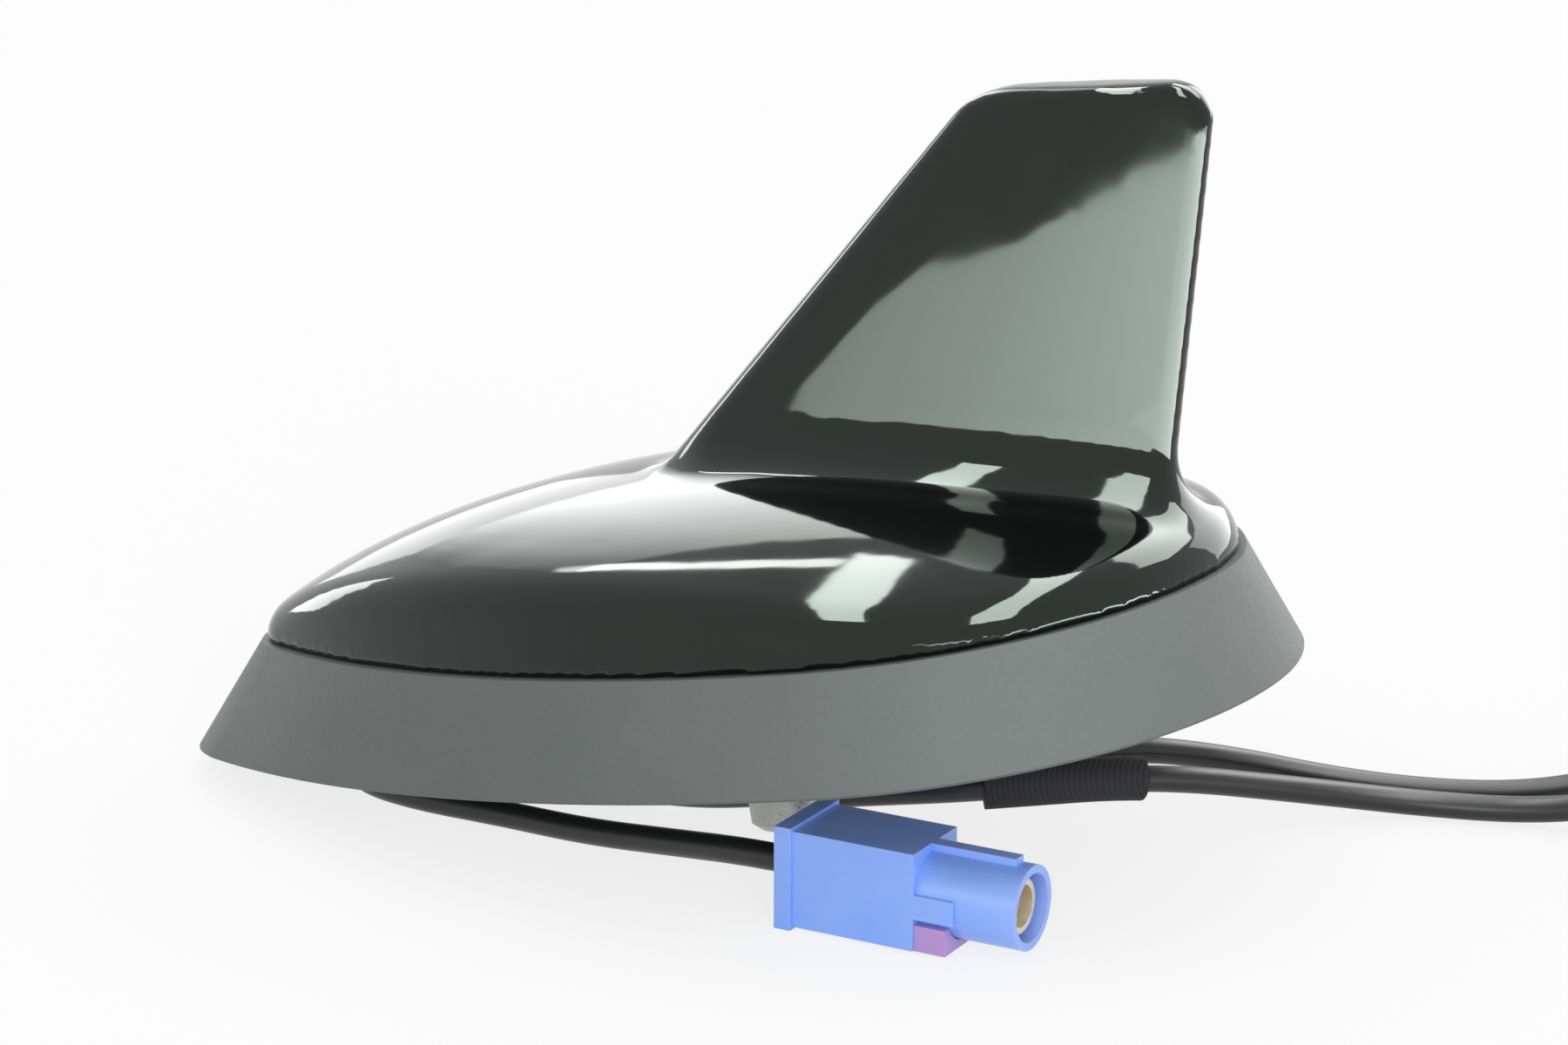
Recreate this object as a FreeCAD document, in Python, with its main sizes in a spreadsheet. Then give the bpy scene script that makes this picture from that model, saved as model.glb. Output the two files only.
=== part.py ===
import FreeCAD, Part
import math
import os
import Sketcher
from FreeCAD import Placement, Rotation, Vector

# Roof antenna with a fin, in millimetres: +X to the rear, +Z up, origin on the stud axis at the roof.
doc = FreeCAD.newDocument("roof_antenna")
sheet = doc.addObject("Spreadsheet::Sheet", "Sizes")

SIZES = {
    # outline of the rubber skirt on the roof: reach to nose and tail, width and where it is widest
    "foot_nose": 67.5,
    "foot_tail": 55.3,
    "foot_width": 74.4,
    "foot_tail_share": 1.03,
    "foot_nose_radius": 14.0,
    "foot_tail_radius": 24.0,
    # outline of the skirt's upper edge, which the hood sits on
    "seam_nose": 57.6,
    "seam_tail": 51.1,
    "seam_width": 67.2,
    "seam_tail_share": 1.065,
    "seam_nose_radius": 12.0,
    "seam_tail_radius": 19.6,
    # rubber skirt
    "skirt_height": 11.4,
    "skirt_floor": 2.0,
    "skirt_wall": 3.2,
    "skirt_toe": 0.3,
    "lip_width": 3.0,
    "lip_depth": 0.8,
    # hood: a drafted wall on the seam, closed by an ellipsoid and rounded where the two meet
    "hood_inset": 0.5,
    "hood_draft": 8.0,
    "hood_block": 22.0,
    "hood_wall": 2.2,
    "hood_centre": -2.0,
    "hood_overrun": 9.6,
    "hood_side_overrun": 11.4,
    "hood_crown": 26.0,
    "hood_round": 5.0,
    # fin: outline low down at the seam and high up, where its top is cut
    "fin_low_nose": 24.4,
    "fin_low_tail": 43.5,
    "fin_low_width": 15.5,
    "fin_low_widest": 15.0,
    "fin_low_nose_radius": 4.4,
    "fin_low_tail_radius": 2.6,
    "fin_high_nose": -35.1,
    "fin_high_tail": 57.0,
    "fin_high_width": 6.4,
    "fin_high_widest": 47.0,
    "fin_high_nose_radius": 2.4,
    "fin_high_tail_radius": 1.7,
    "fin_high_level": 64.0,
    "fin_top": 59.3,
    "fin_top_fall": 5.0,
    "fin_front_round": 11.0,
    "fin_rear_round": 4.0,
    "fin_rim_round": 1.4,
    "fin_root_round": 7.0,
    "fin_cut_angle": 8.0,
    "fin_cavity_top": 52.0,
    "fin_wall": 1.9,
    # die cast base plate with neck and stud
    "fit_gap": 0.2,
    "plate_thick": 3.0,
    "plate_rim_height": 7.0,
    "plate_rim_wall": 2.0,
    "neck_side": 14.0,
    "neck_depth": 3.0,
    "stud_diameter": 11.0,
    "stud_nose_diameter": 10.2,
    "stud_length": 13.2,
    "stud_bore": 7.4,
    "stud_slot_width": 6.6,
    "stud_slot_height": 6.0,
    "stud_chamfer": 0.8,
    # boards and what stands on them
    "post_front_x": -44.0,
    "post_rear_x": 12.0,
    "post_margin": 11.6,
    "post_diameter": 5.0,
    "post_height": 4.0,
    "board_thick": 1.6,
    "board_inset": 7.0,
    "screw_ease": 0.1,
    "board_screw_core": 2.0,
    "board_screw_depth": 3.0,
    "board_screw_head": 4.2,
    "board_screw_head_height": 1.5,
    "boss_front_x": -13.0,
    "boss_rear_x": 31.0,
    "boss_margin": 18.6,
    "boss_diameter": 6.0,
    "boss_screw_core": 2.4,
    "boss_screw_depth": 6.0,
    "boss_screw_head": 4.6,
    "boss_screw_head_height": 1.6,
    "patch_side": 25.0,
    "patch_thick": 4.0,
    "patch_x": -29.0,
    "electrode_side": 21.0,
    "electrode_thick": 0.3,
    "can_length": 18.0,
    "can_width": 16.0,
    "can_height": 4.2,
    "can_wall": 0.5,
    "can_x": -3.0,
    "fin_board_thick": 1.0,
    "fin_board_ease": 0.8,
    "radiator_thick": 0.2,
    "radiator_front": 26.5,
    "radiator_width": 11.5,
    "radiator_foot": 14.0,
    "radiator_height": 34.0,
    "radiator_pitch": 3.6,
    "radiator_trace": 1.6,
    "radiator_gap": 1.6,
    # leads and the plugs on them
    "lead_diameter": 2.8,
    "lead_exit_level": -10.2,
    "lead_bend": 3.0,
    "lead_straight": 4.5,
    "grommet_length": 9.5,
    "sleeve_diameter": 4.6,
    "bench_tilt": 10.0,
    "plug_length": 15.0,
    "plug_width": 9.2,
    "plug_height": 9.8,
    "plug_collar": 1.8,
    "plug_collar_step": 0.35,
    "plug_nose_diameter": 8.4,
    "plug_nose_length": 10.4,
    "plug_nose_bore": 6.8,
    "plug_nose_depth": 14.0,
    "plug_rib_width": 1.6,
    "plug_rib_length": 9.0,
    "plug_step_length": 4.2,
    "sleeve_tube_outer": 5.4,
    "sleeve_tube_bore": 4.2,
    "sleeve_tube_length": 13.0,
    "insulator_length": 7.0,
    "contact_diameter": 1.0,
    "contact_length": 12.0,
    "ferrule_outer": 4.6,
    "ferrule_length": 7.0,
    "ferrule_out": 1.2,
    "lock_reach": 3.4,
    "lock_height": 2.6,
}

# Values that follow from those above.
DERIVED = {
    "foot_widest": "=foot_tail - foot_tail_share * foot_width / 2",
    "seam_widest": "=seam_tail - seam_tail_share * seam_width / 2",
    "post_rear_y": "=seam_width / 2 - post_margin",
    "boss_y": "=seam_width / 2 - boss_margin",
    "hood_half_length": "=(seam_nose + seam_tail) / 2 + hood_overrun",
    "hood_half_width": "=seam_width / 2 + hood_side_overrun",
    "cavity_inset": "=hood_inset + hood_wall",
    "plate_inset": "=skirt_wall + fit_gap",
    "plate_hollow_inset": "=plate_inset + plate_rim_wall",
    "plate_top": "=skirt_floor + plate_thick",
    "board_level": "=plate_top + post_height",
    "board_top": "=board_level + board_thick",
    "fin_share": "=(fin_cavity_top - skirt_height) / (fin_high_level - skirt_height)",
    "fin_hollow_nose": "=fin_low_nose + (fin_high_nose - fin_low_nose) * fin_share - 1.6 * fin_wall",
    "fin_hollow_tail": "=fin_low_tail + (fin_high_tail - fin_low_tail) * fin_share - 1.6 * fin_wall",
    "fin_hollow_width": "=fin_low_width + (fin_high_width - fin_low_width) * fin_share - 2 * fin_wall",
    "fin_hollow_widest": "=fin_low_widest + (fin_high_widest - fin_low_widest) * fin_share",
    "fin_hollow_nose_radius": "=fin_hollow_width * 0.28",
    "fin_hollow_tail_radius": "=fin_hollow_width * 0.2",
}


def cell(row, name, text):
    """Write one named value on the sheet."""
    sheet.set("A%d" % row, name)
    sheet.set("B%d" % row, text)
    sheet.setAlias("B%d" % row, name)


row = 1
for name, value in SIZES.items():
    cell(row, name, str(value))
    row += 1
for name, text in DERIVED.items():
    cell(row, name, text)
    row += 1
doc.recompute()


def size(name):
    """Read one named value."""
    return float(sheet.get(name))


def bind(thing, **rules):
    """Tie properties of an object to expressions; two underscores stand for a dot."""
    for key, text in rules.items():
        thing.setExpression(key.replace("__", "."), text)


def plane_sketch(body, name, role="XY_Plane", level=None):
    """Add a sketch on one of the body's own planes, raised by a named value."""
    sketch = body.newObject("Sketcher::SketchObject", name)
    plane = [f for f in body.Origin.OriginFeatures if f.Role == role][0]
    sketch.AttachmentSupport = [(plane, "")]
    sketch.MapMode = "FlatFace"
    if level:
        sketch.setExpression("AttachmentOffset.Base.z", level)
    return sketch


def hold(sketch, kind, *where, rule=None):
    """Add a constraint, and tie its value to an expression."""
    index = sketch.addConstraint(Sketcher.Constraint(kind, *where))
    if rule:
        sketch.setExpression("Constraints[%d]" % index, rule)


def egg(body, name, outline, level=None, inset=None):
    """Draw an egg of six tangent arcs, blunt at the tail, moved in by a named value."""
    off = size(inset) if inset else 0.0
    less = " - Sizes." + inset if inset else ""
    nose = size(outline + "_nose") - off
    tail = size(outline + "_tail") - off
    half = size(outline + "_width") / 2 - off
    widest = size(outline + "_widest")
    nose_r = size(outline + "_nose_radius") - off
    tail_r = size(outline + "_tail_radius") - off
    front_r = ((widest + nose - nose_r) ** 2 + half ** 2 - nose_r ** 2) / (2 * half - 2 * nose_r)
    rear_r = ((tail - tail_r - widest) ** 2 + half ** 2 - tail_r ** 2) / (2 * half - 2 * tail_r)
    nose_x = nose_r - nose
    tail_x = tail - tail_r
    front_turn = math.atan2(front_r - half, nose_x - widest)
    side = 1 if tail_r < rear_r else -1
    rear_turn = math.atan2(side * (rear_r - half), side * (tail_x - widest))
    full = 2 * math.pi
    arcs = [
        (tail_x, 0, tail_r, full - rear_turn, full + rear_turn),
        (widest, half - rear_r, rear_r, rear_turn, math.pi / 2),
        (widest, half - front_r, front_r, math.pi / 2, front_turn),
        (nose_x, 0, nose_r, front_turn, full - front_turn),
        (widest, front_r - half, front_r, full - front_turn, 1.5 * math.pi),
        (widest, rear_r - half, rear_r, 1.5 * math.pi, full - rear_turn),
    ]
    sketch = plane_sketch(body, name, level=level)
    for x, y, radius, start, end in arcs:
        circle = Part.Circle(Vector(x, y, 0), Vector(0, 0, 1), radius)
        sketch.addGeometry(Part.ArcOfCircle(circle, start, end), False)
    for k in range(6):
        hold(sketch, "Tangent", k, 2, (k + 1) % 6, 1)
    hold(sketch, "PointOnObject", 0, 3, -1)
    hold(sketch, "PointOnObject", 3, 3, -1)
    across = "Sizes.%s_width / 2%s" % (outline, less)
    station = "Sizes.%s_widest" % outline
    hold(sketch, "DistanceX", -1, 1, 1, 2, widest, rule=station)
    hold(sketch, "DistanceY", -1, 1, 1, 2, half, rule=across)
    hold(sketch, "DistanceX", -1, 1, 2, 3, widest, rule=station)
    hold(sketch, "DistanceX", -1, 1, 4, 2, widest, rule=station)
    hold(sketch, "DistanceY", -1, 1, 4, 2, -half, rule="-(%s)" % across)
    hold(sketch, "DistanceX", -1, 1, 4, 3, widest, rule=station)
    hold(sketch, "Radius", 3, nose_r, rule="Sizes.%s_nose_radius%s" % (outline, less))
    hold(sketch, "Radius", 0, tail_r, rule="Sizes.%s_tail_radius%s" % (outline, less))
    hold(sketch, "DistanceX", -1, 1, 3, 3, nose_x,
         rule="Sizes.%s_nose_radius - Sizes.%s_nose" % (outline, outline))
    hold(sketch, "DistanceX", -1, 1, 0, 3, tail_x,
         rule="Sizes.%s_tail - Sizes.%s_tail_radius" % (outline, outline))
    return sketch


def new_body(name):
    """Start a named body."""
    body = doc.addObject("PartDesign::Body", name)
    body.Label = name
    return body


def feature(body, kind, name, profile, **rules):
    """Add a sketch based feature with its sizes bound."""
    made = body.newObject("PartDesign::" + kind, name)
    made.Profile = profile
    bind(made, **rules)
    return made


def edge_names(shape, test):
    """Name the edges whose two faces pass a test."""
    names = []
    for k, edge in enumerate(shape.Edges):
        faces = shape.ancestorsOfType(edge, Part.Face)
        if len(faces) == 2 and (test(faces[0], faces[1]) or test(faces[1], faces[0])):
            names.append("Edge%d" % (k + 1))
    return names


def rect(sketch, left, low, right, high):
    """Draw a rectangle between four bound values."""
    first = sketch.GeometryCount
    corners = [Vector(-1, -1, 0), Vector(1, -1, 0), Vector(1, 1, 0), Vector(-1, 1, 0)]
    for k in range(4):
        sketch.addGeometry(Part.LineSegment(corners[k], corners[(k + 1) % 4]), False)
    for k in range(4):
        hold(sketch, "Coincident", first + k, 2, first + (k + 1) % 4, 1)
    for k in (0, 2):
        hold(sketch, "Horizontal", first + k)
        hold(sketch, "Vertical", first + k + 1)
    hold(sketch, "DistanceX", -1, 1, first, 1, -1.0, rule=left)
    hold(sketch, "DistanceY", -1, 1, first, 1, -1.0, rule=low)
    hold(sketch, "DistanceX", -1, 1, first + 1, 2, 1.0, rule=right)
    hold(sketch, "DistanceY", -1, 1, first + 1, 2, 1.0, rule=high)
    return sketch


def ring(sketch, diameter, place=None):
    """Draw a circle of a bound diameter, at the origin or at a fixed place."""
    index = sketch.GeometryCount
    x, y = place or (0.0, 0.0)
    sketch.addGeometry(Part.Circle(Vector(x, y, 0), Vector(0, 0, 1), 1.0), False)
    if place:
        hold(sketch, "DistanceX", -1, 1, index, 3, x)
        hold(sketch, "DistanceY", -1, 1, index, 3, y)
    else:
        hold(sketch, "Coincident", index, 3, -1, 1)
    hold(sketch, "Diameter", index, 2.0, rule=diameter)
    return sketch


def cylinder(name, diameter, height, x, y, level):
    """Make an upright cylinder with bound diameter, height and foot level."""
    made = doc.addObject("Part::Cylinder", name)
    made.Placement = Placement(Vector(x, y, 0), Rotation())
    bind(made, Radius="(%s) / 2" % diameter, Height=height, Placement__Base__z=level)
    return made


def block(name, length, width, height, x, y, level):
    """Make a box with bound sides, centred on x and y, on a bound level."""
    made = doc.addObject("Part::Box", name)
    bind(made, Length=length, Width=width, Height=height)
    bind(made, Placement__Base__x="%s - (%s) / 2" % (x, length))
    bind(made, Placement__Base__y="%s - (%s) / 2" % (y, width))
    bind(made, Placement__Base__z=level)
    return made


def combine(kind, name, *things):
    """Join, cut or intersect objects."""
    made = doc.addObject("Part::" + kind, name)
    if kind in ("MultiFuse", "MultiCommon"):
        made.Shapes = list(things)
    elif kind == "Compound":
        made.Links = list(things)
    else:
        made.Base, made.Tool = things
    return made


def round_edges(name, base, edges, radius):
    """Round the named edges of an object."""
    made = doc.addObject("Part::Fillet", name)
    made.Base = base
    made.Edges = [(int(edge[4:]), radius, radius) for edge in edges]
    return made


NODES = []


def node(thing, label):
    """Keep an object as a sub-part."""
    thing.Label = label
    NODES.append(thing)
    return thing


# Rubber skirt: lofted from the roof to the seam, with a tray for the base plate and a sealing lip.
gasket = new_body("roof_gasket")
toe = egg(gasket, "gasket_toe", "foot", inset="skirt_toe")
foot = egg(gasket, "gasket_foot", "foot", "Sizes.skirt_toe")
seam = egg(gasket, "gasket_seam", "seam", "Sizes.skirt_height")
skirt_toe = feature(gasket, "AdditiveLoft", "skirt_toe", toe)
skirt_toe.Sections = [foot]
skirt = feature(gasket, "AdditiveLoft", "skirt", foot)
skirt.Sections = [seam]
tray = egg(gasket, "gasket_tray", "seam", "Sizes.skirt_height", inset="skirt_wall")
feature(gasket, "Pocket", "tray", tray, Length="Sizes.skirt_height - Sizes.skirt_floor")
lip = egg(gasket, "gasket_lip", "foot", inset="lip_width")
lip_cut = feature(gasket, "Pocket", "lip_cut", lip, Length="Sizes.lip_depth")
lip_cut.Reversed = True
neck_hole = plane_sketch(gasket, "neck_hole", level="Sizes.skirt_floor")
side = "Sizes.neck_side / 2 + Sizes.fit_gap"
rect(neck_hole, "-(%s)" % side, "-(%s)" % side, side, side)
feature(gasket, "Pocket", "neck_opening", neck_hole, Length="Sizes.skirt_floor")
node(gasket, "roof_gasket")

# Base plate: a die cast tray with posts, a square neck that stops it turning, and a hollow slotted stud.
POSTS = [(size("post_front_x"), 0.0)]
POSTS += [(size("post_rear_x"), side * size("post_rear_y")) for side in (1, -1)]
BOSSES = [(size(x), side * size("boss_y")) for x in ("boss_front_x", "boss_rear_x") for side in (1, -1)]
plate = new_body("base_plate")
outline = egg(plate, "plate_outline", "seam", "Sizes.skirt_floor", inset="plate_inset")
feature(plate, "Pad", "plate_pad", outline, Length="Sizes.plate_rim_height")
hollow = egg(plate, "plate_hollow", "seam", "Sizes.skirt_floor + Sizes.plate_rim_height",
             inset="plate_hollow_inset")
feature(plate, "Pocket", "plate_tray", hollow, Length="Sizes.plate_rim_height - Sizes.plate_thick")
posts = plane_sketch(plate, "plate_posts", level="Sizes.plate_top")
for place in POSTS:
    ring(posts, "Sizes.post_diameter", place)
feature(plate, "Pad", "post_pads", posts, Length="Sizes.post_height")
neck = plane_sketch(plate, "plate_neck", level="Sizes.skirt_floor")
rect(neck, "-Sizes.neck_side / 2", "-Sizes.neck_side / 2", "Sizes.neck_side / 2", "Sizes.neck_side / 2")
neck_pad = feature(plate, "Pad", "neck_pad", neck, Length="Sizes.skirt_floor + Sizes.neck_depth")
neck_pad.Reversed = True
stud = ring(plane_sketch(plate, "plate_stud", level="-Sizes.neck_depth"), "Sizes.stud_diameter")
clamped = "Sizes.stud_length - Sizes.neck_depth - Sizes.stud_slot_height"
stud_pad = feature(plate, "Pad", "stud_pad", stud, Length=clamped)
stud_pad.Reversed = True
stud_nose = plane_sketch(plate, "plate_stud_nose", level="-Sizes.neck_depth")
ring(stud_nose, "Sizes.stud_nose_diameter")
nose_pad = feature(plate, "Pad", "stud_nose_pad", stud_nose, Length="Sizes.stud_length - Sizes.neck_depth")
nose_pad.Reversed = True
bore = ring(plane_sketch(plate, "plate_bore", level="Sizes.plate_top"), "Sizes.stud_bore")
bored = feature(plate, "Pocket", "stud_bore", bore, Length="Sizes.plate_top + Sizes.stud_length")
doc.recompute()


def stud_end(a, b):
    """Tell whether two faces meet at the outer end of the stud."""
    flat = abs(a.BoundBox.ZMax + size("stud_length")) < 0.01
    return flat and abs(b.BoundBox.XLength - size("stud_nose_diameter")) < 0.01


bevel = plate.newObject("PartDesign::Chamfer", "stud_bevel")
bevel.Base = (bored, edge_names(bored.Shape, stud_end))
bind(bevel, Size="Sizes.stud_chamfer")
slot = plane_sketch(plate, "stud_slot", "YZ_Plane")
rect(slot, "-Sizes.stud_slot_width / 2", "-Sizes.stud_length - 1",
     "Sizes.stud_slot_width / 2", "Sizes.stud_slot_height - Sizes.stud_length")
slot_cut = feature(plate, "Pocket", "stud_slots", slot, Length="Sizes.stud_diameter + 1")
slot_cut.Midplane = True
post_holes = plane_sketch(plate, "post_holes", level="Sizes.board_level")
for place in POSTS:
    ring(post_holes, "Sizes.board_screw_core + Sizes.screw_ease", place)
feature(plate, "Pocket", "post_pilots", post_holes, Length="Sizes.board_screw_depth + Sizes.fit_gap")
boss_holes = plane_sketch(plate, "boss_holes", level="Sizes.plate_top")
head_wells = plane_sketch(plate, "head_wells", level="Sizes.skirt_floor")
for place in BOSSES:
    ring(boss_holes, "Sizes.boss_screw_core + 2 * Sizes.fit_gap", place)
    ring(head_wells, "Sizes.boss_screw_head + 2 * Sizes.fit_gap", place)
feature(plate, "Pocket", "boss_clearance", boss_holes, Length="Sizes.plate_thick")
well_cut = feature(plate, "Pocket", "screw_wells", head_wells, Length="Sizes.boss_screw_head_height")
well_cut.Reversed = True
node(plate, "base_plate")

# Radome, outside: a drafted egg closed by an ellipsoid, with the fin blended into it.
hood_block = new_body("hood_block")
hood_rim = egg(hood_block, "hood_rim", "seam", "Sizes.skirt_height", inset="hood_inset")
feature(hood_block, "Pad", "hood_wall_pad", hood_rim, Length="Sizes.hood_block",
        TaperAngle="-Sizes.hood_draft")


def ellipsoid(name, less):
    """Make the hood's closing ellipsoid, smaller by a bound amount."""
    made = doc.addObject("Part::Ellipsoid", name)
    bind(made, Radius1="Sizes.hood_crown" + less, Radius2="Sizes.hood_half_length" + less)
    bind(made, Radius3="Sizes.hood_half_width" + less, Placement__Base__x="Sizes.hood_centre")
    return made


hood_form = combine("Common", "hood_form", hood_block, ellipsoid("hood_top", ""))
doc.recompute()



def shoulder_edge(a, b):
    """Tell whether the ellipsoid meets the drafted wall."""
    flank = (size("skirt_height") + size("hood_crown")) / 2
    return a.CenterOfMass.z > flank > b.CenterOfMass.z > size("skirt_height") + 0.1


shoulder = edge_names(hood_form.Shape, shoulder_edge)
hood = round_edges("hood", hood_form, shoulder, size("hood_round"))

fin_block = new_body("fin_block")
fin_foot = egg(fin_block, "fin_foot", "fin_low", "Sizes.skirt_height")
fin_head = egg(fin_block, "fin_head", "fin_high", "Sizes.fin_high_level")
fin_loft = feature(fin_block, "AdditiveLoft", "fin_loft", fin_foot)
fin_loft.Sections = [fin_head]
doc.recompute()


def fin_top_cut(sketch):
    """Draw what lies above the fin: a falling top with a wide round in front and a small one behind."""
    rise = size("fin_high_level") - size("skirt_height")
    fall = math.radians(size("fin_top_fall"))
    lead = Vector(size("fin_low_nose") - size("fin_high_nose"), rise, 0).normalize()
    trail = Vector(size("fin_high_tail") - size("fin_low_tail"), rise, 0).normalize()
    lead_in = Vector(lead.y, -lead.x, 0)
    trail_in = Vector(-trail.y, trail.x, 0)
    top_in = Vector(-math.sin(fall), -math.cos(fall), 0)
    lead_foot = Vector(-size("fin_low_nose"), size("skirt_height"), 0)
    trail_foot = Vector(size("fin_low_tail"), size("skirt_height"), 0)
    top_point = Vector(size("fin_high_widest"), size("fin_top"), 0)
    cross = math.cos(math.radians(size("fin_cut_angle")))

    def centre(foot, inward, radius):
        """Find the centre of a round between an edge and the top."""
        first = inward.dot(foot) + radius * cross
        second = top_in.dot(top_point) + radius
        det = inward.x * top_in.y - inward.y * top_in.x
        x = (first * top_in.y - second * inward.y) / det
        y = (inward.x * second - top_in.x * first) / det
        return Vector(x, y, 0)

    front_r = size("fin_front_round")
    rear_r = size("fin_rear_round")
    front = centre(lead_foot, lead_in, front_r)
    rear = centre(trail_foot, trail_in, rear_r)

    def arc(middle, radius, start, end):
        """Make an arc about a centre from one inward normal to another."""
        half = (start + end).normalize()
        return [middle - start * radius, middle - half * radius, middle - end * radius]

    clear = 2 * front_r
    first = arc(front, front_r, lead_in, top_in)
    second = arc(rear, rear_r, top_in, trail_in)
    path = [first[0] - lead_in * clear, first[0], first[2], second[0], second[2]]
    path.append(second[2] - trail_in * clear)
    over = size("fin_high_level") + clear
    path += [Vector(path[5].x, over, 0), Vector(path[0].x, over, 0)]
    for k in range(8):
        start, end = path[k], path[(k + 1) % 8]
        if k == 1:
            sketch.addGeometry(Part.Arc(start, first[1], end), False)
        elif k == 3:
            sketch.addGeometry(Part.Arc(start, second[1], end), False)
        else:
            sketch.addGeometry(Part.LineSegment(start, end), False)


fin_cut = plane_sketch(fin_block, "fin_top_outline", "XZ_Plane")
fin_top_cut(fin_cut)
fin_top = feature(fin_block, "Pocket", "fin_top_cut", fin_cut, Length="4 * Sizes.fin_low_width")
fin_top.Midplane = True
doc.recompute()
rim = edge_names(fin_top.Shape, lambda a, b: a.BoundBox.ZMin > size("fin_cavity_top") > b.BoundBox.ZMin)
fin_rim = fin_block.newObject("PartDesign::Fillet", "fin_rim")
fin_rim.Base = (fin_top, rim)
bind(fin_rim, Radius="Sizes.fin_rim_round")
doc.recompute()

outside = combine("Fuse", "radome_outside", hood, fin_block)
doc.recompute()



def root_edge(a, b):
    """Tell whether a side of the fin meets the hood."""
    over_hood = size("hood_crown") + size("hood_wall")
    return a.BoundBox.ZMax > size("fin_cavity_top") and b.BoundBox.ZMax < over_hood


root = edge_names(outside.Shape, root_edge)
blended = round_edges("radome_blended", outside, root, size("fin_root_round"))

# Radome, inside: the same forms smaller by the wall, and bosses for the screws.
cavity_block = new_body("cavity_block")
cavity_rim = egg(cavity_block, "cavity_rim", "seam", "Sizes.skirt_height", inset="cavity_inset")
feature(cavity_block, "Pad", "cavity_pad", cavity_rim, Length="Sizes.hood_block",
        TaperAngle="-Sizes.hood_draft")
hood_cavity = combine("Common", "hood_cavity", cavity_block, ellipsoid("cavity_top", " - Sizes.hood_wall"))
fin_cavity = new_body("fin_cavity")
fin_cavity_foot = egg(fin_cavity, "fin_cavity_foot", "fin_low", "Sizes.skirt_height", inset="fin_wall")
fin_cavity_head = egg(fin_cavity, "fin_cavity_head", "fin_hollow", "Sizes.fin_cavity_top")
fin_cavity_loft = feature(fin_cavity, "AdditiveLoft", "fin_cavity_loft", fin_cavity_foot)
fin_cavity_loft.Sections = [fin_cavity_head]
cavity = combine("Fuse", "radome_cavity", hood_cavity, fin_cavity)
shell = combine("Cut", "radome_shell", blended, cavity)


def wall_level(x, y):
    """Work out the middle of the hood's wall over a place."""
    half = size("hood_wall") / 2
    along = (x - size("hood_centre")) / (size("hood_half_length") - half)
    across = y / (size("hood_half_width") - half)
    return (size("hood_crown") - half) * math.sqrt(1 - along ** 2 - across ** 2)


bosses = []
pilots = []
for k, (x, y) in enumerate(BOSSES):
    rise = "%.3f - Sizes.plate_top" % wall_level(x, y)
    bosses.append(cylinder("boss_%d" % k, "Sizes.boss_diameter", rise, x, y, "Sizes.plate_top"))
    width = "Sizes.boss_screw_core + Sizes.screw_ease"
    depth = "Sizes.boss_screw_depth + Sizes.fit_gap"
    pilots.append(cylinder("pilot_%d" % k, width, depth, x, y, "Sizes.plate_top"))
bossed = combine("MultiFuse", "radome_bossed", shell, *bosses)
radome = combine("Cut", "radome", bossed, combine("MultiFuse", "radome_pilots", *pilots))
node(radome, "radome")

# Main board on its posts, with the screws that hold it.
board = new_body("main_board")
board_outline = egg(board, "board_outline", "seam", "Sizes.board_level", inset="board_inset")
feature(board, "Pad", "board_pad", board_outline, Length="Sizes.board_thick")
board_holes = plane_sketch(board, "board_holes", level="Sizes.board_top")
for place in BOSSES:
    ring(board_holes, "Sizes.boss_diameter + 2 * Sizes.fit_gap", place)
for place in POSTS:
    ring(board_holes, "Sizes.board_screw_core + 2 * Sizes.fit_gap", place)
feature(board, "Pocket", "board_cuts", board_holes, Length="Sizes.board_thick")
node(board, "main_board")


def screw(name, place, prefix, level, reach, turn):
    """Make a plain screw: a head on a level and a shank of the core size; turn -1 points it down."""
    x, y = place
    head_height = "Sizes.%s_head_height" % prefix
    head = cylinder(name + "_head", "Sizes.%s_head" % prefix, head_height, x, y, level)
    foot = "%s - (%s)" % (level, reach) if turn < 0 else "%s + %s" % (level, head_height)
    shank = cylinder(name + "_shank", "Sizes.%s_core" % prefix, reach, x, y, foot)
    return combine("Fuse", name, head, shank)


board_screws = [screw("board_screw_%d" % k, place, "board_screw", "Sizes.board_top",
                      "Sizes.board_thick + Sizes.board_screw_depth", -1) for k, place in enumerate(POSTS)]
node(combine("Compound", "board_screws", *board_screws), "board_screws")
radome_reach = "Sizes.plate_thick - Sizes.boss_screw_head_height + Sizes.boss_screw_depth"
radome_screws = [screw("radome_screw_%d" % k, place, "boss_screw", "Sizes.skirt_floor", radome_reach, 1)
                 for k, place in enumerate(BOSSES)]
node(combine("Compound", "radome_screws", *radome_screws), "radome_screws")

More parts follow.
